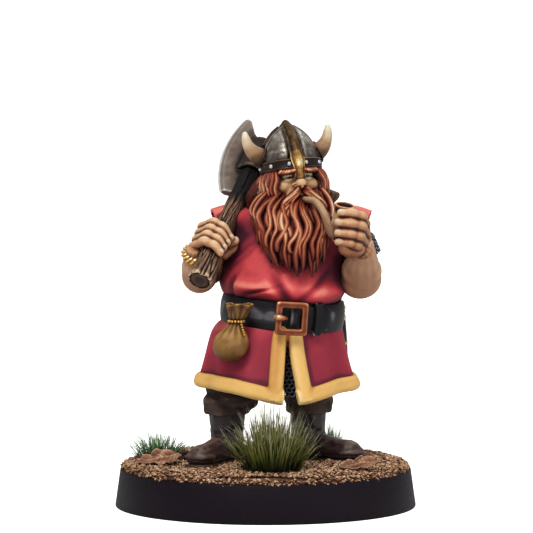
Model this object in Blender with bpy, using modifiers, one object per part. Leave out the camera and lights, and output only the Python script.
"""Painted miniature figure: a stout dwarf with a horned helmet, an axe on the shoulder and a pipe, on
a round base.

The row frame is +Z up with the origin at the centre of the base's underside. The figure looks towards -Y.
Lengths below are in millimetres; MM turns them into metres.
"""

import math

import bmesh
import bpy
from mathutils import Euler, Matrix, Vector
from mathutils.bvhtree import BVHTree

MM = 0.001
GAP = 0.06  # clearance left between two pieces that meet

# Driving dimensions: a standard 25 mm round base and a figure of about 28.8 mm from sole to crown.
BASE_RADIUS = 12.5
BASE_TOP_RADIUS = 12.05
BASE_HEIGHT = 3.2
BASE_RIM = 1.1
BASE_PLATE = 1.0
GROUND_HEIGHT = 0.5
BODY_CENTRE = Vector((1.4, 0.0))
BODY_TURN = math.radians(10)  # the body is turned a little to its left
HEAD_CENTRE = Vector((2.05, -1.5, 28.25))
HEAD_TURN = math.radians(15)
HEAD_ROLL = math.radians(-4.5)
HEAD_PITCH = math.radians(-9)  # the chin is drawn in
HELMET_RADIUS = 2.36
HELMET_HEIGHT = 3.5
BAND_RADIUS = 2.62
BELT_HEIGHT = 2.5
BELT_LEVEL = 16.15
WAIST = (4.62, 4.32)
BELT_TILT = math.radians(4.5)
HAFT_FOOT = Vector((-5.37, -6.3, 19.26))
HAFT_HEAD = Vector((-0.05, 5.75, 29.7))
HAFT_RADIUS = 0.95

GROUND = BASE_HEIGHT + GROUND_HEIGHT
FLOOR = BASE_HEIGHT + GAP + 0.03  # where the ground and the soles start


# ---------------------------------------------------------------- scene and materials

for old in list(bpy.data.objects):
    bpy.data.objects.remove(old, do_unlink=True)

FIGURE = bpy.data.collections.new("painted_miniature_figure")
bpy.context.scene.collection.children.link(FIGURE)


def paint(name, colour, roughness=0.6, metallic=0.0):
    """A Principled material."""
    material = bpy.data.materials.new(name)
    material.use_nodes = True
    shader = material.node_tree.nodes["Principled BSDF"]
    shader.inputs["Base Color"].default_value = (*colour, 1.0)
    shader.inputs["Roughness"].default_value = roughness
    shader.inputs["Metallic"].default_value = metallic
    material.diffuse_color = (*colour, 1.0)
    return material


PAINTS = {
    "black_plastic": paint("black_plastic", (0.012, 0.010, 0.014), 0.5),
    "sand": paint("sand", (0.42, 0.28, 0.18), 0.9),
    "grass": paint("grass", (0.16, 0.20, 0.06), 0.8),
    "dead_leaf": paint("dead_leaf", (0.30, 0.15, 0.08), 0.8),
    "bare_metal": paint("bare_metal", (0.45, 0.45, 0.46), 0.4, 1.0),
    "boot_leather": paint("boot_leather", (0.06, 0.035, 0.03), 0.6),
    "trouser_cloth": paint("trouser_cloth", (0.09, 0.06, 0.045), 0.8),
    "mail": paint("mail", (0.10, 0.10, 0.11), 0.35, 0.9),
    "red_cloth": paint("red_cloth", (0.42, 0.06, 0.08), 0.7),
    "yellow_trim": paint("yellow_trim", (0.75, 0.45, 0.14), 0.65),
    "belt_leather": paint("belt_leather", (0.035, 0.03, 0.035), 0.5),
    "copper": paint("copper", (0.65, 0.32, 0.16), 0.35, 0.9),
    "pouch_leather": paint("pouch_leather", (0.36, 0.22, 0.07), 0.6),
    "skin": paint("skin", (0.55, 0.31, 0.18), 0.6),
    "hair": paint("hair", (0.38, 0.13, 0.05), 0.6),
    "steel": paint("steel", (0.22, 0.21, 0.20), 0.35, 0.9),
    "brass": paint("brass", (0.50, 0.33, 0.12), 0.35, 0.9),
    "bone": paint("bone", (0.75, 0.60, 0.42), 0.5),
    "wood": paint("wood", (0.16, 0.11, 0.07), 0.8),
    "pipe_wood": paint("pipe_wood", (0.28, 0.20, 0.12), 0.5),
    "gold": paint("gold", (0.80, 0.45, 0.12), 0.3, 0.9),
}


# ---------------------------------------------------------------- modelling helpers

def new_object(name, mesh, material=None):
    obj = bpy.data.objects.new(name, mesh)
    FIGURE.objects.link(obj)
    if material:
        mesh.materials.clear()
        mesh.materials.append(PAINTS[material])
    return obj


def from_bmesh(name, bm, material=None):
    mesh = bpy.data.meshes.new(name)
    bmesh.ops.recalc_face_normals(bm, faces=bm.faces)
    bm.to_mesh(mesh)
    bm.free()
    return new_object(name, mesh, material)


def baked(obj, material=None):
    """The object as a plain mesh in world space: its modifiers applied and its doubles merged."""
    bpy.context.view_layer.update()
    graph = bpy.context.evaluated_depsgraph_get()
    mesh = bpy.data.meshes.new_from_object(obj.evaluated_get(graph))
    mesh.transform(obj.matrix_world)
    bm = bmesh.new()
    bm.from_mesh(mesh)
    bmesh.ops.remove_doubles(bm, verts=bm.verts, dist=1e-8)
    name = obj.name
    bpy.data.objects.remove(obj, do_unlink=True)
    bpy.data.meshes.remove(mesh)
    return from_bmesh(name, bm, material)


def modify(obj, kind, **settings):
    modifier = obj.modifiers.new(kind.title(), kind)
    for key, value in settings.items():
        setattr(modifier, key, value)
    return modifier


def ball(centre, radii, turn=(0, 0, 0), detail=3):
    """An ellipsoid; turn is in degrees about X, Y and Z."""
    bm = bmesh.new()
    bmesh.ops.create_icosphere(bm, subdivisions=detail, radius=1.0)
    place = (
        Matrix.Translation(Vector(centre) * MM)
        @ Euler([math.radians(a) for a in turn]).to_matrix().to_4x4()
        @ Matrix.Diagonal((*(Vector(radii) * MM), 1.0))
    )
    bmesh.ops.transform(bm, matrix=place, verts=bm.verts)
    return from_bmesh("ball", bm)


def block(centre, size, turn=(0, 0, 0)):
    bm = bmesh.new()
    bmesh.ops.create_cube(bm, size=1.0)
    place = (
        Matrix.Translation(Vector(centre) * MM)
        @ Euler([math.radians(a) for a in turn]).to_matrix().to_4x4()
        @ Matrix.Diagonal((*(Vector(size) * MM), 1.0))
    )
    bmesh.ops.transform(bm, matrix=place, verts=bm.verts)
    return from_bmesh("block", bm)


def smooth_path(points, steps):
    """A Catmull-Rom line through the points; each point is (x, y, z, radius)."""
    rows = [Vector(p) for p in points]
    rows = [2 * rows[0] - rows[1], *rows, 2 * rows[-1] - rows[-2]]
    path = []
    for i in range(1, len(rows) - 2):
        a, b, c, d = rows[i - 1 : i + 3]
        for k in range(steps):
            t = k / steps
            path.append(
                0.5 * (2 * b + (c - a) * t + (2 * a - 5 * b + 4 * c - d) * t * t
                       + (3 * b - a - 3 * c + d) * t ** 3)
            )
    path.append(rows[-2])
    return path


def limb(name, points, material=None, steps=2, sides=8, round_ends=True):
    """A tapering tube through points of (x, y, z, radius), with its ends rounded."""
    path = smooth_path(points, steps)
    if round_ends:
        ends = []
        for tip, inner in ((path[0], path[1]), (path[-1], path[-2])):
            out = (tip.to_3d() - inner.to_3d()).normalized()
            cap = [(tip.to_3d() + out * tip[3] * math.sin(a)).to_4d() for a in (0.6, 1.15)]
            for point, a in zip(cap, (0.6, 1.15)):
                point[3] = tip[3] * math.cos(a)
            ends.append(cap)
        path = [*reversed(ends[0]), *path, *ends[1]]
    curve = bpy.data.curves.new(name, "CURVE")
    curve.dimensions = "3D"
    curve.bevel_depth = MM
    curve.bevel_resolution = (sides - 4) // 2
    curve.use_fill_caps = True
    spline = curve.splines.new("POLY")
    spline.points.add(len(path) - 1)
    for point, row in zip(spline.points, path):
        point.co = (*(row.to_3d() * MM), 1.0)
        point.radius = row[3]
    obj = bpy.data.objects.new(name, curve)
    FIGURE.objects.link(obj)
    return baked(obj, material)


def loft(name, rings, material=None, sides=24):
    """A closed body through level rings of (centre x, centre y, z, half width, half depth)."""
    bm = bmesh.new()
    loops = []
    for cx, cy, z, rx, ry in rings:
        loops.append([
            bm.verts.new(Vector((cx + rx * math.cos(a), cy + ry * math.sin(a), z)) * MM)
            for a in (math.tau * k / sides for k in range(sides))
        ])
    for low, high in zip(loops, loops[1:]):
        for k in range(sides):
            n = (k + 1) % sides
            bm.faces.new((low[k], low[n], high[n], high[k]))
    bm.faces.new(loops[0])
    bm.faces.new(loops[-1])
    return from_bmesh(name, bm, material)


def turned(name, profile, material=None, steps=32):
    """A body of revolution about Z; the profile of (radius, z) starts and ends on the axis, or closes
    on itself."""
    bm = bmesh.new()
    points = [bm.verts.new(Vector((r, 0, z)) * MM) for r, z in profile]
    for a, b in zip(points, points[1:]):
        bm.edges.new((a, b))
    if profile[0][0] > 0:
        bm.edges.new((points[-1], points[0]))
    mesh = bpy.data.meshes.new(name)
    bm.to_mesh(mesh)
    bm.free()
    obj = new_object(name, mesh)
    modify(obj, "SCREW", angle=math.tau, steps=steps, render_steps=steps,
           use_merge_vertices=True, merge_threshold=1e-6)
    return baked(obj, material)


def outline(name, corners, thickness, material=None):
    """A flat plate in the XY plane from its corner points, centred on z = 0."""
    curve = bpy.data.curves.new(name, "CURVE")
    curve.dimensions = "2D"
    curve.fill_mode = "BOTH"
    curve.extrude = thickness / 2 * MM
    spline = curve.splines.new("POLY")
    spline.points.add(len(corners) - 1)
    spline.use_cyclic_u = True
    for point, (x, y) in zip(spline.points, corners):
        point.co = (x * MM, y * MM, 0, 1)
    obj = bpy.data.objects.new(name, curve)
    FIGURE.objects.link(obj)
    return baked(obj, material)


def placed(obj, matrix):
    obj.data.transform(matrix)
    return obj


def melt(name, pieces, material, voxel=0.3, keep=0.5, smooth=2):
    """Runs overlapping solids together into one soft body."""
    bm = bmesh.new()
    for piece in pieces:
        bm.from_mesh(piece.data)
        bpy.data.objects.remove(piece, do_unlink=True)
    obj = from_bmesh(name, bm)
    modify(obj, "REMESH", mode="VOXEL", voxel_size=voxel * MM)
    modify(obj, "SMOOTH", factor=0.5, iterations=smooth)
    modify(obj, "DECIMATE", ratio=keep)
    return baked(obj, material)


def solid_cut(target, cutter, operation="DIFFERENCE"):
    """Applies a Boolean to the target and removes the cutter."""
    material = target.data.materials[0].name if target.data.materials else None
    cutter.hide_render = True
    cutter.display_type = "WIRE"
    modify(target, "BOOLEAN", operation=operation, object=cutter, solver="EXACT", use_self=True)
    done = baked(target, material)
    bpy.data.objects.remove(cutter, do_unlink=True)
    return done


def union(name, pieces, material):
    first, *rest = pieces
    for piece in rest:
        first = solid_cut(first, piece, "UNION")
    first.name = name
    first.data.materials.clear()
    first.data.materials.append(PAINTS[material])
    return first


def islands(bm):
    """The separate bodies of a mesh, as sets of faces joined along edges, the smallest first."""
    left, found = set(bm.faces), []
    while left:
        start = left.pop()
        island, edge = {start}, [start]
        while edge:
            for rim in edge.pop().edges:
                for face in rim.link_faces:
                    if face in left:
                        left.discard(face)
                        island.add(face)
                        edge.append(face)
        found.append(island)
    return sorted(found, key=len)


def keep_largest(obj):
    """Drops the crumbs that a cut can leave beside the body."""
    bm = bmesh.new()
    bm.from_mesh(obj.data)
    bmesh.ops.delete(bm, geom=[face for island in islands(bm)[:-1] for face in island], context="FACES")
    bm.to_mesh(obj.data)
    bm.free()


def swollen(obj, by):
    """A copy of the object, grown by a distance along its normals."""
    bm = bmesh.new()
    bm.from_mesh(obj.data)
    bmesh.ops.triangulate(bm, faces=bm.faces)
    bm.normal_update()
    moves = [(v, v.normal * v.calc_shell_factor()) for v in bm.verts]
    for vertex, out in moves:
        vertex.co += out.normalized() * min(out.length, 1.6) * by * MM
    return from_bmesh("swollen", bm)


def tree(obj):
    bm = bmesh.new()
    bm.from_mesh(obj.data)
    found = BVHTree.FromBMesh(bm)
    bm.free()
    return found


def clean(obj):
    """Triangulates a piece and takes off slivers, stray edges and fins without thickness."""
    bm = bmesh.new()
    bm.from_mesh(obj.data)
    bmesh.ops.dissolve_degenerate(bm, dist=0.004 * MM, edges=bm.edges)
    bmesh.ops.remove_doubles(bm, verts=bm.verts, dist=0.002 * MM)
    bmesh.ops.triangulate(bm, faces=bm.faces)
    same_corners = {}
    for face in bm.faces:
        same_corners.setdefault(frozenset(face.verts), []).append(face)
    fins = [face for faces in same_corners.values() if len(faces) > 1 for face in faces]
    bmesh.ops.delete(bm, geom=fins, context="FACES_ONLY")
    while True:
        flaps = [
            face for face in bm.faces
            if any(edge.is_boundary for edge in face.edges)
            and any(len(edge.link_faces) > 2 for edge in face.edges)
        ]
        if not flaps:
            break
        bmesh.ops.delete(bm, geom=flaps, context="FACES_ONLY")
    bmesh.ops.delete(bm, geom=[edge for edge in bm.edges if not edge.link_faces], context="EDGES")
    bmesh.ops.delete(bm, geom=[vertex for vertex in bm.verts if not vertex.link_faces], context="VERTS")
    bmesh.ops.recalc_face_normals(bm, faces=bm.faces)
    bm.to_mesh(obj.data)
    bm.free()


def sound(mesh):
    """Whether the mesh is one closed body: every edge between exactly two faces."""
    bm = bmesh.new()
    bm.from_mesh(mesh)
    closed = len(bm.faces) > 3 and all(edge.is_manifold for edge in bm.edges) and len(islands(bm)) == 1
    bm.free()
    return closed


def volume(mesh):
    bm = bmesh.new()
    bm.from_mesh(mesh)
    inside = bm.calc_volume(signed=True)
    bm.free()
    return inside


def slim(names):
    """Thins out the triangles of the dense pieces as far as they keep their size and stay clear of
    their neighbours."""
    trees = {name: tree(bpy.data.objects[name]) for name in names}
    for name in names:
        obj = bpy.data.objects[name]
        full = obj.data.copy()
        if len(full.polygons) < 160 or name in ("base", "ground_layer", "belt"):
            continue
        for ratio in (0.3, 0.4, 0.5, 0.65, 0.8):
            obj.data = full.copy()
            modify(obj, "DECIMATE", ratio=ratio)
            obj = baked(obj, full.materials[0].name)
            now = tree(obj)
            near = abs(volume(obj.data) / volume(full) - 1) < 0.02
            if near and sound(obj.data) and not any(now.overlap(trees[o]) for o in names if o != name):
                trees[name] = now
                break
        else:
            obj.data = full


def settle(names):
    """Gives each piece the room that the pieces before it in the list leave, with a clearance between
    them."""
    for i, name in enumerate(names):
        for earlier in names[:i]:
            cutter = swollen(bpy.data.objects[earlier], GAP)
            if tree(cutter).overlap(tree(bpy.data.objects[name])):
                solid_cut(bpy.data.objects[name], cutter)
                keep_largest(bpy.data.objects[name])
            else:
                bpy.data.objects.remove(cutter, do_unlink=True)



# ---------------------------------------------------------------- base and ground

def make_base():
    inner = BASE_RADIUS - BASE_RIM
    turned("base", [
        (0, BASE_HEIGHT), (BASE_TOP_RADIUS - 0.15, BASE_HEIGHT), (BASE_TOP_RADIUS, BASE_HEIGHT - 0.15),
        (BASE_RADIUS, 0), (inner, 0), (inner - 0.2, BASE_HEIGHT - BASE_PLATE), (0, BASE_HEIGHT - BASE_PLATE),
    ], "black_plastic", steps=44)
    tab = block((0.3, -0.2, 1.75), (17.0, 0.9, 2.7), (0, 0, 14))
    tab.name = "slot_tab"
    tab.data.materials.append(PAINTS["bare_metal"])
    edge = BASE_TOP_RADIUS - 0.2
    turned("ground_layer", [
        (0, GROUND), (edge - 0.5, GROUND), (edge - 0.1, GROUND - 0.2), (edge, FLOOR),
        (0, FLOOR),
    ], "sand", steps=36)


def make_tuft(name, centre, radius, height, blades):
    """A glued tuft of static grass: stout blades that fan out of a small mat."""
    x, y = centre
    foot = GROUND + GAP + 0.02
    tuft = loft("mat", [
        (x, y, foot, radius * 0.62, radius * 0.55), (x, y, foot + 0.45, radius * 0.5, radius * 0.45),
    ], sides=12)
    for k in range(blades):
        angle = k * 2.39996
        share = math.sqrt((k + 0.5) / blades)
        outward = Vector((math.cos(angle), math.sin(angle), 0))
        root = Vector((x, y, foot + 0.2)) + 0.42 * radius * share * outward
        reach = Vector((math.cos(angle), math.sin(angle), 0)) * radius * (share ** 1.5)
        tip = Vector((x, y, foot + height * (1.0 - 0.42 * share * share) * (1.0 if k % 3 else 0.84))) + reach
        axis = (tip - root).normalized()
        bm = bmesh.new()
        bmesh.ops.create_cone(bm, cap_ends=True, segments=3, radius1=0.3 * MM, radius2=0.04 * MM,
                              depth=(tip - root).length * MM)
        turn = axis.to_track_quat("Z", "Y").to_matrix().to_4x4() @ Matrix.Rotation(k * 1.1, 4, "Z")
        bmesh.ops.transform(bm, matrix=Matrix.Translation((root + tip) / 2 * MM) @ turn, verts=bm.verts)
        tuft = solid_cut(tuft, from_bmesh("blade", bm), "UNION")
    keep_largest(tuft)
    tuft.name = name
    tuft.data.materials.clear()
    tuft.data.materials.append(PAINTS["grass"])


def make_leaf(name, centre, length, width, turn, curl):
    """A dry leaf: a pointed oval plate bent along its midrib."""
    half = 7
    rim = []
    for k in range(2 * half):
        a = math.pi * k / half
        lobe = 1.0 + 0.16 * math.cos(3 * a)
        rim.append((length / 2 * math.cos(a), width / 2 * math.sin(a) * lobe))
    leaf = outline(name, rim, 0.2, "dead_leaf")
    bm = bmesh.new()
    bm.from_mesh(leaf.data)
    for vertex in bm.verts:
        x, y = vertex.co.x / MM, vertex.co.y / MM
        vertex.co.z += curl * (0.5 * y * y + 0.06 * x * x) * MM
    bm.to_mesh(leaf.data)
    bm.free()
    placed(leaf, Matrix.Translation(Vector(centre) * MM) @ Matrix.Rotation(math.radians(turn), 4, "Z"))


# ---------------------------------------------------------------- legs

def make_leg(side, heel, toe, ankle, knee_width):
    hx, hy = heel
    tx, ty = toe
    ax, ay = ankle
    sole_top = BASE_HEIGHT + 0.75
    middle = ((hx + tx) / 2, (hy + ty) / 2)
    foot = limb("foot", [(hx, hy, 4.55, 1.1), (*middle, 4.65, 1.1), (tx, ty, 4.5, 1.2)])
    instep = limb("instep", [(ax, ay, 5.6, 1.3), (*middle, 4.8, 1.1)])
    shaft = limb("shaft", [(ax, ay, 5.2, 1.3), (ax, ay, 6.4, 1.42), (ax, ay + 0.1, 8.0, 1.5)])
    boot = melt(f"boot_{side}", [foot, instep, shaft], "boot_leather", voxel=0.4, keep=0.4)
    below = block((0, 0, sole_top - 5 + GAP + 0.03), (60, 60, 10))
    solid_cut(boot, below)
    outward = (Vector(toe) - Vector(heel)).normalized()
    across = Vector((-outward.y, outward.x))
    rim = []
    for k in range(18):
        a = math.tau * k / 18
        end, width = (toe, 1.02) if math.cos(a) > 0 else (heel, 0.9)
        rim.append(tuple(Vector(end) + outward * width * math.cos(a) + across * width * math.sin(a)))
    sole = outline(f"boot_sole_{side}", rim, sole_top - FLOOR, "boot_leather")
    placed(sole, Matrix.Translation((0, 0, (sole_top + FLOOR) / 2 * MM)))
    loft(f"trouser_leg_{side}", [
        (ax, ay, 7.15, knee_width - 0.75, knee_width - 0.9),
        (ax, ay, 7.4, knee_width - 0.2, knee_width - 0.4),
        (ax, ay, 8.2, knee_width, knee_width - 0.2), (ax, ay, 9.6, knee_width - 0.15, knee_width - 0.3),
        (ax, ay, 10.8, knee_width - 0.6, knee_width - 0.7),
    ], "trouser_cloth", sides=20)


# ---------------------------------------------------------------- tunic

def hem_level(angle):
    """The hem hangs lowest at the two front corners."""
    front = max(0.0, math.cos(angle)) ** 6
    return 9.95 - 1.05 * front - 0.12 * math.sin(angle)


def skirt_point(side, v, thickness):
    """A point of the skirt: side runs from -1 to 1 round the back from slit edge to slit edge, v from
    the belt to the hem."""
    half_slit = 0.015 + 0.095 * v
    hip = 0.8 * (1 - math.exp(-v / 0.09))
    angle = side * (math.pi - half_slit) + math.pi  # 0 is the front
    flare = v ** 1.35
    rx = 4.45 + hip + 1.15 * flare + thickness
    ry = 4.1 + 0.4 * hip + 1.4 * flare + thickness
    top = BELT_LEVEL - BELT_HEIGHT / 2 - 0.09 - math.tan(BELT_TILT) * WAIST[0] * math.sin(angle + BODY_TURN)
    z = top + v * (hem_level(angle) - top)
    lean = Vector((0.15 * v - 0.6 * hip, -0.1 * v))
    x = rx * math.sin(angle)
    y = -ry * math.cos(angle)
    turned_to = Vector((x, y))
    turned_to.rotate(Matrix.Rotation(BODY_TURN, 2))
    return Vector((*(turned_to + BODY_CENTRE + lean), z)) * MM


def skirt_sheet(name, inside, thickness, material, columns, rows):
    """The part of the skirt's surface where inside(side, v) holds, given a thickness."""
    bm = bmesh.new()
    grid = [[bm.verts.new(skirt_point(s, v, 0.0)) for v in rows] for s in columns]
    for i in range(len(columns) - 1):
        for j in range(len(rows) - 1):
            if inside((columns[i] + columns[i + 1]) / 2, (rows[j] + rows[j + 1]) / 2):
                bm.faces.new((grid[i][j], grid[i][j + 1], grid[i + 1][j + 1], grid[i + 1][j]))
    bmesh.ops.delete(bm, geom=[v for v in bm.verts if not v.link_faces], context="VERTS")
    obj = from_bmesh(name, bm)
    modify(obj, "SOLIDIFY", thickness=thickness * MM, offset=0.0, use_even_offset=True)
    return baked(obj, material)


def make_tunic():
    band_side, band_low = 0.068, 0.82
    columns = sorted({round(-1 + 2 * k / 28, 4) for k in range(29)} | {-1 + band_side, 1 - band_side})
    rows = [0.0, 0.22, 0.44, 0.64, band_low, 1.0]

    def on_band(side, v):
        return abs(side) > 1 - band_side or v > band_low

    skirt_sheet("hem_trim", on_band, 0.85, "yellow_trim", columns, rows)
    skirt_sheet("tunic_skirt", lambda s, v: abs(s) < 1 - 0.02 and v < 0.9, 0.5, "red_cloth", columns, rows)
    cx, cy = BODY_CENTRE
    torso = loft("tunic_torso", [
        (cx, cy, 14.9, 4.0, 3.5), (cx, cy, 15.9, 4.1, 3.8), (cx, cy, 16.3, 4.5, 4.2),
        (cx, cy, 17.3, 4.55, 4.25),
        (cx, cy - 0.1, 17.65, 4.95, 4.9), (cx, cy - 0.2, 18.4, 5.2, 5.15), (cx, cy - 0.2, 19.4, 5.15, 4.95),
        (cx + 0.2, cy - 0.1, 20.9, 5.0, 4.3), (cx + 0.4, cy + 0.2, 22.6, 4.9, 3.7),
        (cx + 0.5, cy + 0.4, 23.9, 4.7, 3.2),
        (cx + 0.5, cy + 0.4, 24.6, 3.9, 2.7), (cx + 0.5, cy + 0.3, 24.95, 2.6, 2.1),
    ], "red_cloth", sides=26)
    for vertex in torso.data.vertices:
        x, _, z = vertex.co / MM
        vertex.co.z -= math.tan(BELT_TILT) * (x - cx) * min(1.0, max(0.0, (21.0 - z) / 2.5)) * MM
    limb("sleeve_right", [(-1.6, 0.7, 23.3, 1.6), (-2.8, 0.5, 23.25, 1.72), (-3.6, 0.3, 23.1, 1.7),
                          (-4.3, 0.2, 22.85, 1.68)], "red_cloth", sides=14)
    limb("sleeve_left", [(5.2, 0.7, 23.3, 1.6), (6.3, 0.6, 23.3, 1.75), (7.3, 0.4, 23.1, 1.74),
                         (8.1, 0.3, 22.8, 1.68)], "red_cloth", sides=14)
    loft("mail_skirt", [
        (cx - 0.2, cy, 9.7, 4.9, 4.3), (cx - 0.1, cy, 11.0, 4.8, 4.3), (cx, cy, 13.0, 4.5, 3.95),
        (cx, cy, 14.6, 4.3, 3.7),
    ], "mail", sides=28)


# ---------------------------------------------------------------- belt

def belt_ring(name, base, out, height, material, start=0.0, end=math.tau, steps=40):
    """A strap from one angle to another, measured from the front towards the figure's left.

    It lies between base and out, both measured from the waist.
    """
    inner = Vector(WAIST)
    whole = end - start > 6.28
    count = steps if whole else steps + 1
    bm = bmesh.new()
    sections = []
    for k in range(count):
        a = start + (end - start) * k / steps
        ring = []
        for grow, lift in ((base, -1), (out, -1), (out, 1), (base, 1)):
            x = (inner.x + grow) * math.sin(a)
            y = -(inner.y + grow) * math.cos(a)
            ring.append(bm.verts.new(Vector((x, y, lift * height / 2)) * MM))
        sections.append(ring)
    pairs = list(zip(sections, sections[1:]))
    if whole:
        pairs.append((sections[-1], sections[0]))
    for first, second in pairs:
        for k in range(4):
            n = (k + 1) % 4
            bm.faces.new((first[k], first[n], second[n], second[k]))
    if not whole:
        bm.faces.new(sections[0])
        bm.faces.new(sections[-1])
    obj = from_bmesh(name, bm, material)
    tilt = (
        Matrix.Translation(Vector((*BODY_CENTRE, BELT_LEVEL)) * MM)
        @ Matrix.Rotation(BELT_TILT, 4, "Y")
        @ Matrix.Rotation(BODY_TURN * 0.8, 4, "Z")
    )
    return placed(obj, tilt)


def make_belt():
    belt_ring("belt", 0.0, 0.44, BELT_HEIGHT, "belt_leather")
    belt_ring("belt_tail", 0.52, 0.76, BELT_HEIGHT * 0.8, "belt_leather", 0.18, 0.64, 8)
    belt_ring("belt_keeper", 0.8, 1.02, BELT_HEIGHT * 1.06, "belt_leather", 0.36, 0.48, 3)
    outer = [(-1.33, -1.36), (1.33, -1.36), (1.33, 1.36), (-1.33, 1.36)]
    inner = block((0, 0, 0), (1.58, 1.62, 3))
    frame = outline("belt_buckle", outer, 0.6, "copper")
    modify(frame, "BEVEL", width=0.18 * MM, segments=2)
    frame = solid_cut(baked(frame, "copper"), inner)
    upright = (
        Matrix.Translation(Vector((2.1, -5.4, BELT_LEVEL - 0.08)) * MM)
        @ Matrix.Rotation(BODY_TURN * 0.9, 4, "Z")
        @ Matrix.Rotation(math.radians(90), 4, "X")
        @ Matrix.Rotation(math.radians(-4), 4, "Z")
    )
    placed(frame, upright)
    prong = limb("buckle_prong", [(-1.15, 0.0, 0.62, 0.26), (-0.3, 0, 0.45, 0.2), (0.8, 0, 0.2, 0.18)],
                 "copper", sides=8)
    placed(prong, upright)


def make_pouch():
    limb("pouch_bag", [(-2.65, -4.55, 15.35, 0.62), (-2.75, -4.65, 14.5, 1.2),
                       (-2.85, -4.6, 13.9, 1.42)], "pouch_leather", sides=14)
    turned("pouch_ruffle", [(0, 0.85), (1.15, 0.75), (1.1, 0.5), (0.5, -0.7), (0, -0.75)],
           "pouch_leather", steps=18)
    placed(bpy.data.objects["pouch_ruffle"], Matrix.Translation(Vector((-2.25, -4.75, 16.75)) * MM))
    turned("pouch_cord", [(0.78, 0.18), (0.82, 0.0), (0.78, -0.18), (0.4, -0.2), (0.4, 0.2)], "gold",
           steps=18)
    placed(bpy.data.objects["pouch_cord"], Matrix.Translation(Vector((-2.38, -4.7, 15.95)) * MM))


# ---------------------------------------------------------------- arms and hands

def make_arms():
    limb("upper_arm_right", [(-2.8, 0.6, 23.0, 1.2), (-4.3, -0.1, 21.3, 1.32), (-5.2, -0.7, 19.8, 1.3)],
         "skin", sides=12)
    limb("forearm_right", [(-5.45, -1.2, 19.3, 1.5), (-5.75, -2.3, 20.1, 1.28), (-5.85, -2.9, 20.9, 1.0),
                           (-5.75, -3.3, 21.6, 0.82)], "skin", sides=12)
    limb("upper_arm_left", [(6.6, 0.5, 23.1, 1.2), (7.7, 0.0, 21.6, 1.35), (8.1, -0.6, 20.0, 1.35)],
         "skin", sides=12)
    limb("forearm_left", [(7.85, -1.5, 19.1, 1.62), (7.95, -3.1, 20.5, 1.4), (8.0, -3.8, 21.3, 1.1),
                          (7.95, -4.3, 22.0, 0.95)], "skin", sides=12)
    bracelet = turned("bracelet_right", [
        (1.25, 0.3), (1.42, 0), (1.25, -0.3), (0.75, -0.3), (0.75, 0.3),
    ], "gold", steps=20)
    toward = Vector((0.02, -0.6, 0.78)).to_track_quat("Z", "Y").to_matrix().to_4x4()
    placed(bracelet, Matrix.Translation(Vector((-5.78, -3.0, 21.05)) * MM) @ toward)
    cuff = turned("mail_cuff_left", [(1.5, 0.62), (1.6, 0), (1.5, -0.62), (1.1, -0.62), (1.1, 0.62)],
                  "mail", steps=20)
    along = Vector((-0.35, 0.26, 0.9)).to_track_quat("Z", "Y").to_matrix().to_4x4()
    placed(cuff, Matrix.Translation(Vector((7.8, -0.15, 21.25)) * MM) @ along)


def on_haft(along, angle, radius):
    """A point round the haft: angle in degrees from its outer side over its front."""
    axis = (HAFT_HEAD - HAFT_FOOT).normalized()
    outer = (Vector((-1, 0, 0)) + axis * axis.x).normalized()
    a = math.radians(angle)
    return HAFT_FOOT + axis * along + (outer * math.cos(a) + axis.cross(outer) * math.sin(a)) * radius


def finger(points, radius):
    return limb("finger", [(*p, radius * k) for p, k in zip(points, (1.1, 1.05, 1.0, 0.85))])


def make_hands():
    parts = []
    for k in range(4):
        parts.append(finger((
            on_haft(6.05 - 0.84 * k, 4, 1.9), on_haft(5.75 - 0.82 * k, 62, 1.5),
            on_haft(5.35 - 0.78 * k, 104, 1.38),
            on_haft(4.85 - 0.7 * k, 144 - 4 * k, 1.28),
        ), 0.42))
    wrist = (-5.75, -3.3, 21.4, 0.82)
    parts += [
        limb("palm", [(*on_haft(5.8, -22, 1.7), 0.68), (*on_haft(3.7, -22, 1.75), 0.72)]),
        limb("palm", [(*on_haft(5.0, -70, 1.5), 0.85), (*on_haft(3.4, -40, 1.9), 0.8), wrist]),
        limb("thumb", [(*on_haft(4.6, -110, 1.3), 0.6), (*on_haft(5.1, -150, 1.35), 0.5),
                       (-2.95, -2.75, 22.0, 0.45),
                       (-2.5, -3.25, 22.3, 0.4)]),
    ]
    melt("hand_right", parts, "skin", voxel=0.3, keep=0.4, smooth=1)
    parts = []
    for k in range(4):
        reach = 0.25 * (k in (1, 2))
        parts.append(finger((
            (8.15 - 0.09 * k, -4.7, 23.75 - 0.74 * k), (7.85 - 0.12 * k, -6.1 - reach, 24.45 - 0.78 * k),
            (6.95 - 0.08 * k, -6.75 - 0.5 * reach, 24.8 - 0.8 * k), (6.1 - 0.07 * k, -6.85, 24.85 - 0.8 * k),
        ), 0.43))
    parts += [
        limb("palm", [(7.9, -4.5, 23.7, 0.65), (7.95, -4.4, 22.3, 0.85), (8.0, -4.3, 21.6, 0.9)]),
        ball((7.05, -5.2, 21.85), (1.12, 1.0, 0.85)),
        limb("thumb", [(7.7, -4.2, 23.5, 0.6), (7.4, -4.1, 24.2, 0.5), (6.8, -4.5, 24.7, 0.42)]),
    ]
    melt("hand_left", parts, "skin", voxel=0.27, keep=0.4, smooth=2)


# ---------------------------------------------------------------- head, hair and beard

def head_place():
    return (
        Matrix.Translation(HEAD_CENTRE * MM)
        @ Matrix.Rotation(HEAD_ROLL, 4, "Y")
        @ Matrix.Rotation(HEAD_TURN, 4, "Z")
        @ Matrix.Rotation(HEAD_PITCH, 4, "X")
    )


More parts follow.
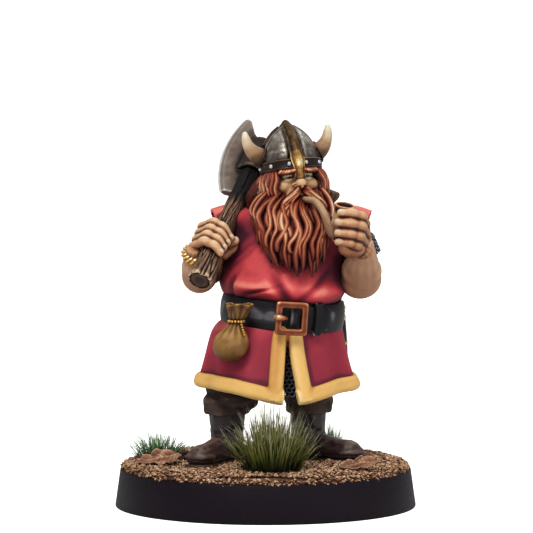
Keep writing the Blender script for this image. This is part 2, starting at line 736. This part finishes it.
def make_head():
    """The head is modelled upright about its own centre, level with the helmet's rim, looking along -Y."""
    skull = ball((0, 0.1, 0.1), (2.15, 2.3, 2.5))
    face = ball((0, -0.45, -1.6), (1.95, 1.95, 1.9))
    brow_bone = ball((0, -1.7, -0.75), (1.5, 0.62, 0.35))
    nose = limb("nose", [(0, -2.3, -1.0, 0.3), (0, -2.85, -1.85, 0.42)])
    nostrils = [ball((s * 0.4, -2.6, -1.95), (0.32, 0.34, 0.28)) for s in (-1, 1)]
    cheeks = [ball((s * 1.2, -1.75, -1.75), (0.65, 0.6, 0.55)) for s in (-1, 1)]
    neck = limb("neck", [(0, 0.4, -1.5, 1.5), (-0.1, 0.7, -2.5, 1.4)])
    head = melt("head", [skull, face, brow_bone, nose, neck, *nostrils, *cheeks], "skin", voxel=0.34,
                keep=0.4)
    placed(head, head_place())
    for side, name in ((-1, "right"), (1, "left")):
        brow = limb(f"eyebrow_{name}", [(side * 0.5, -2.62, -0.98, 0.2), (side * 1.05, -2.5, -0.78, 0.25),
                                        (side * 1.7, -1.95, -0.85, 0.15)], "hair", sides=6)
        placed(brow, head_place())
        lip = limb(f"moustache_{name}", [(side * 0.12, -2.8, -2.45, 0.34), (side * 0.9, -2.85, -2.7, 0.45),
                                         (side * 1.6, -2.6, -3.5, 0.3),
                                         (side * 1.75, -2.7, -4.3, 0.15)], "hair")
        placed(lip, head_place())


def make_beard():
    strands = []
    tips = ((-0.55, 22.3), (0.25, 20.9), (1.3, 19.9), (2.4, 19.6), (3.4, 19.3), (4.4, 20.3), (5.1, 21.7))
    for k, (tip_x, tip_z) in enumerate(tips):
        a = -1.2 + 2.4 * k / 6
        x = 2.7 + 2.75 * math.sin(a)
        y = -1.6 - 2.2 * math.cos(a)
        strands.append(limb("strand", [
            (x, y, 26.3 - 1.2 * math.cos(a), 0.7), (x * 1.02 + 0.05, y - 0.75, 24.0, 0.95),
            ((x + tip_x) / 2, y - 1.25, 22.2, 0.85), (tip_x, min(y - 0.9, -4.4), tip_z, 0.4),
        ]))
    chin = ball((2.65, -3.1, 23.8), (2.85, 1.9, 1.8))
    fall = ball((2.45, -4.0, 22.2), (2.4, 1.3, 2.2))
    melt("beard", [chin, fall, *strands], "hair", voxel=0.42, keep=0.4)
    locks = []
    for side, y, length in ((-1, -1.6, 3.0), (-1, -0.3, 3.5), (-0.85, 1.0, 3.4), (-0.35, 2.1, 3.3),
                            (0.35, 2.2, 3.3), (0.85, 1.1, 3.4), (1, -0.3, 3.5), (1, -1.5, 3.0)):
        x = 2.35 * side
        locks.append(limb("lock", [
            (x, y, -0.95, 0.45), (x * 1.1, y * 1.05, -1.9, 0.68), (x * 1.02, y, -length, 0.5),
        ]))
    nape = ball((0, 0.9, -2.0), (2.3, 1.9, 1.4))
    hair = melt("hair", [nape, *locks], "hair", voxel=0.42, keep=0.4)
    placed(hair, head_place())


def make_helmet():
    dome = []
    for k in range(9):
        a = math.pi / 2 * k / 8
        dome.append((HELMET_RADIUS * math.sin(a) ** 0.92, HELMET_HEIGHT * math.cos(a) ** 1.12))
    shell = 0.38
    inside = [(max(0.0, r - shell), max(0.0, z - shell * 0.9)) for r, z in reversed(dome)]
    inside[0] = (HELMET_RADIUS - shell, -0.15)
    dome[-1] = (HELMET_RADIUS, -0.15)
    placed(turned("helmet_shell", dome + inside, "steel", steps=28), head_place())
    rim = BAND_RADIUS
    section = [(rim - 0.06, 0.42), (rim, 0.05), (rim - 0.06, -0.38), (rim - 0.5, -0.38), (rim - 0.5, 0.42)]
    band = turned("helmet_band", section, "steel", steps=28)
    rivets = []
    for k in range(10):
        a = math.radians(16 + 36.4 * k)
        rivets.append(ball((rim * math.sin(a), -rim * math.cos(a), 0.03), (0.17, 0.17, 0.17), detail=1))
    band = union("helmet_band", [band, *rivets], "steel")
    placed(band, head_place())
    placed(strip("helmet_ridge", ridge_line(), 0.55, 0.8, 0.36, "brass"), head_place())
    for side, name in ((-1, "right"), (1, "left")):
        horn = limb(f"horn_{name}", [
            (side * 1.9, 0.1, 0.8, 0.8), (side * 2.5, 0.05, 1.08, 0.76), (side * 3.0, 0, 1.5, 0.62),
            (side * 3.34, 0, 2.05, 0.47), (side * 3.58, -0.1, 3.05, 0.17),
        ], "bone", sides=12)
        placed(horn, head_place())


def ridge_line():
    """The comb and nasal bar from the nose over the crown to the nape, as (y, z, outward y, outward z)."""
    line = [(-BAND_RADIUS - 0.06, -1.4, -1, 0), (-BAND_RADIUS - 0.06, -0.5, -1, 0)]
    for k in range(13):
        a = math.pi * k / 12 - math.pi / 2
        y = math.copysign(HELMET_RADIUS * abs(math.sin(a)) ** 0.92, a)
        z = HELMET_HEIGHT * max(0.0, math.cos(a)) ** 1.12
        line.append((y * 0.98, z * 0.98 + (0.25 if k in (0, 12) else 0), math.sin(a), math.cos(a)))
    return line


def strip(name, line, depth, width, crest, material):
    """A raised strip along a line in the YZ plane: broad at its foot and narrow at its crest."""
    bm = bmesh.new()
    rings = []
    for y, z, oy, oz in line:
        foot, top = Vector((0, y, z)), Vector((0, y + oy * depth, z + oz * depth))
        across = (Vector((width / 2, 0, 0)), Vector((crest / 2, 0, 0)))
        corners = (foot - across[0], top - across[1], top + across[1], foot + across[0])
        rings.append([bm.verts.new(p * MM) for p in corners])
    for low, high in zip(rings, rings[1:]):
        for k in range(4):
            n = (k + 1) % 4
            bm.faces.new((low[k], low[n], high[n], high[k]))
    bm.faces.new(rings[0])
    bm.faces.new(rings[-1])
    return from_bmesh(name, bm, material)


# ---------------------------------------------------------------- pipe, axe, dagger, sack

def make_pipe():
    limb("pipe_stem", [(3.1, -4.3, 25.76, 0.22), (4.03, -6.0, 25.68, 0.29), (4.51, -6.6, 25.18, 0.3),
                       (4.86, -6.85, 24.46, 0.31),
                       (5.18, -6.9, 23.7, 0.33), (5.45, -6.7, 22.95, 0.38),
                       (5.85, -6.3, 22.4, 0.5)], "pipe_wood", sides=10)
    bowl = turned("pipe_bowl", [
        (0, -0.5), (0.4, 0.2), (0.54, 1.2), (0.6, 1.75), (0.84, 1.72), (0.84, 1.45), (0.74, 1.3),
        (0.8, 0), (0.74, -1.1),
        (0.6, -1.75), (0, -2.0),
    ], "pipe_wood", steps=16)
    lean = Matrix.Rotation(math.radians(9), 4, "Y") @ Matrix.Rotation(math.radians(13), 4, "X")
    placed(bowl, Matrix.Translation(Vector((6.22, -5.95, 23.85)) * MM) @ lean)


def haft_place(along):
    """A frame at a distance along the haft: Z runs up the haft and X points out towards the cutting edge."""
    axis = (HAFT_HEAD - HAFT_FOOT).normalized()
    out = Vector((-1, 0, 0))
    out = (out - out.dot(axis) * axis).normalized()
    side = axis.cross(out)
    turn = Matrix((out, side, axis)).transposed().to_4x4()
    return Matrix.Translation((HAFT_FOOT + axis * along) * MM) @ turn


def make_axe():
    length = (HAFT_HEAD - HAFT_FOOT).length
    loft("axe_haft", [
        (0, 0, 0, 0.9, 0.9), (0, 0, 0.12, 1.0, 1.0), (0, 0, 0.8, HAFT_RADIUS, HAFT_RADIUS),
        (0, 0, length * 0.6, 0.86, 0.86),
        (0, 0, length, 0.8, 0.8),
    ], "wood", sides=14)
    placed(bpy.data.objects["axe_haft"], haft_place(0))
    edge = [(3.05 + 0.08 * t - 0.9 * (t / 4.5) ** 2, t)
            for t in (-4.4, -3.3, -2.2, -1.1, 0, 1.1, 2.2, 3.3, 4.4)]
    blade_rim = [(0.0, -1.5), (1.0, -1.6), (1.15, -3.2), (1.25, -4.3), *edge, (0.0, 1.6)]
    blade = outline("blade", blade_rim, 0.7)
    bm = bmesh.new()
    bm.from_mesh(blade.data)
    for vertex in bm.verts:
        far = max(0.0, vertex.co.x / MM - 0.2) / 3.1
        vertex.co.z *= max(0.12, 1 - far)
    bm.to_mesh(blade.data)
    bm.free()
    placed(blade, Matrix.Rotation(math.radians(90), 4, "X"))
    eye = turned("eye", [(0, 1.7), (1.25, 1.6), (1.3, 0), (1.25, -1.6), (0, -1.7)], steps=16)
    poll = block((-1.3, 0, 0), (1.4, 1.3, 2.2))
    head = union("axe_head", [eye, blade, poll], "steel")
    placed(head, haft_place(14.7))


def make_dagger():
    at = Vector((6.0, 3.05, 16.1)) * MM
    lean = (
        Matrix.Translation(at)
        @ Matrix.Rotation(math.radians(-6), 4, "Y")
        @ Matrix.Rotation(math.radians(14), 4, "X")
        @ Matrix.Translation((0, 0, -16.1 * MM))
    )
    parts = (
        ("dagger_pommel", [(0, 19.5), (0.5, 19.35), (0.62, 19.0), (0.4, 18.65), (0, 18.62)], "brass"),
        ("dagger_grip", [(0, 18.5), (0.4, 18.5), (0.46, 17.6), (0.4, 16.6), (0, 16.6)], "pouch_leather"),
        ("dagger_guard", [(0, 16.5), (0.62, 16.45), (0.72, 16.1), (0.62, 15.75), (0, 15.7)], "brass"),
        ("scabbard", [(0, 15.6), (0.62, 15.6), (0.56, 13.0), (0.42, 11.0), (0, 10.9)], "belt_leather"),
    )
    for name, profile, material in parts:
        placed(turned(name, profile, material, steps=14), lean)


def make_sack():
    limb("sack_bag", [(4.9, 3.4, 24.25, 0.75), (4.2, 4.0, 23.3, 1.5), (3.6, 4.2, 22.2, 2.15),
                      (3.1, 4.25, 20.7, 2.4),
                      (2.7, 4.0, 19.6, 2.1)], "pouch_leather", sides=14)
    place = Matrix.Translation(Vector((5.35, 3.05, 24.98)) * MM) @ Matrix.Rotation(math.radians(22), 4, "Y")
    placed(turned("sack_mouth", [(0, 1.05), (0.85, 1.0), (0.9, 0.75), (0.45, -0.3), (0, -0.35)],
                  "pouch_leather", steps=14), place)
    placed(turned("sack_tie", [(0.72, -0.25), (0.76, -0.42), (0.72, -0.6), (0.3, -0.6), (0.3, -0.25)],
                  "belt_leather", steps=14), place)


# ---------------------------------------------------------------- assembly

make_base()
make_leg("right", heel=(-2.8, 0.6), toe=(-5.2, -3.7), ankle=(-3.2, -0.2), knee_width=2.2)
make_leg("left", heel=(3.3, 1.3), toe=(6.7, -0.4), ankle=(3.55, 1.0), knee_width=2.15)
make_tunic()
make_belt()
make_pouch()
make_arms()
make_hands()
make_head()
make_beard()
make_helmet()
make_pipe()
make_axe()
make_dagger()
make_sack()
make_tuft("grass_tuft_front", (0.6, -6.3), 3.9, 6.2, 30)
make_tuft("grass_tuft_side", (-9.1, 2.6), 2.9, 2.7, 18)
make_tuft("grass_tuft_rear", (5.2, 5.8), 2.2, 3.2, 14)
make_leaf("leaf_right", (-8.7, -2.4, GROUND + 0.3), 3.2, 2.2, 8, 0.3)
make_leaf("leaf_left", (7.6, -6.3, GROUND + 0.3), 3.4, 1.9, -14, 0.3)

ORDER = [
    "slot_tab", "base", "boot_sole_right", "boot_sole_left", "boot_right", "boot_left",
    "trouser_leg_right", "trouser_leg_left", "ground_layer",
    "pipe_bowl", "pipe_stem", "axe_haft", "axe_head",
    "helmet_shell", "helmet_ridge", "helmet_band", "horn_right", "horn_left", "head",
    "belt_buckle", "buckle_prong", "belt_keeper", "belt_tail", "belt",
    "hem_trim", "tunic_skirt", "tunic_torso", "mail_skirt",
    "hand_right", "hand_left", "bracelet_right", "mail_cuff_left",
    "forearm_right", "forearm_left", "upper_arm_right", "upper_arm_left", "sleeve_right", "sleeve_left",
    "pouch_cord", "pouch_ruffle", "pouch_bag",
    "dagger_guard", "dagger_grip", "dagger_pommel", "scabbard",
    "sack_tie", "sack_mouth", "sack_bag",
    "eyebrow_right", "eyebrow_left", "moustache_right", "moustache_left", "beard", "hair",
    "leaf_right", "leaf_left", "grass_tuft_front", "grass_tuft_side", "grass_tuft_rear",
]
settle(ORDER)
for node in ORDER:
    clean(bpy.data.objects[node])
    keep_largest(bpy.data.objects[node])
slim(ORDER)

for shape in FIGURE.objects:
    shape.data.shade_smooth()
    shape.data.set_sharp_from_angle(angle=math.radians(40))
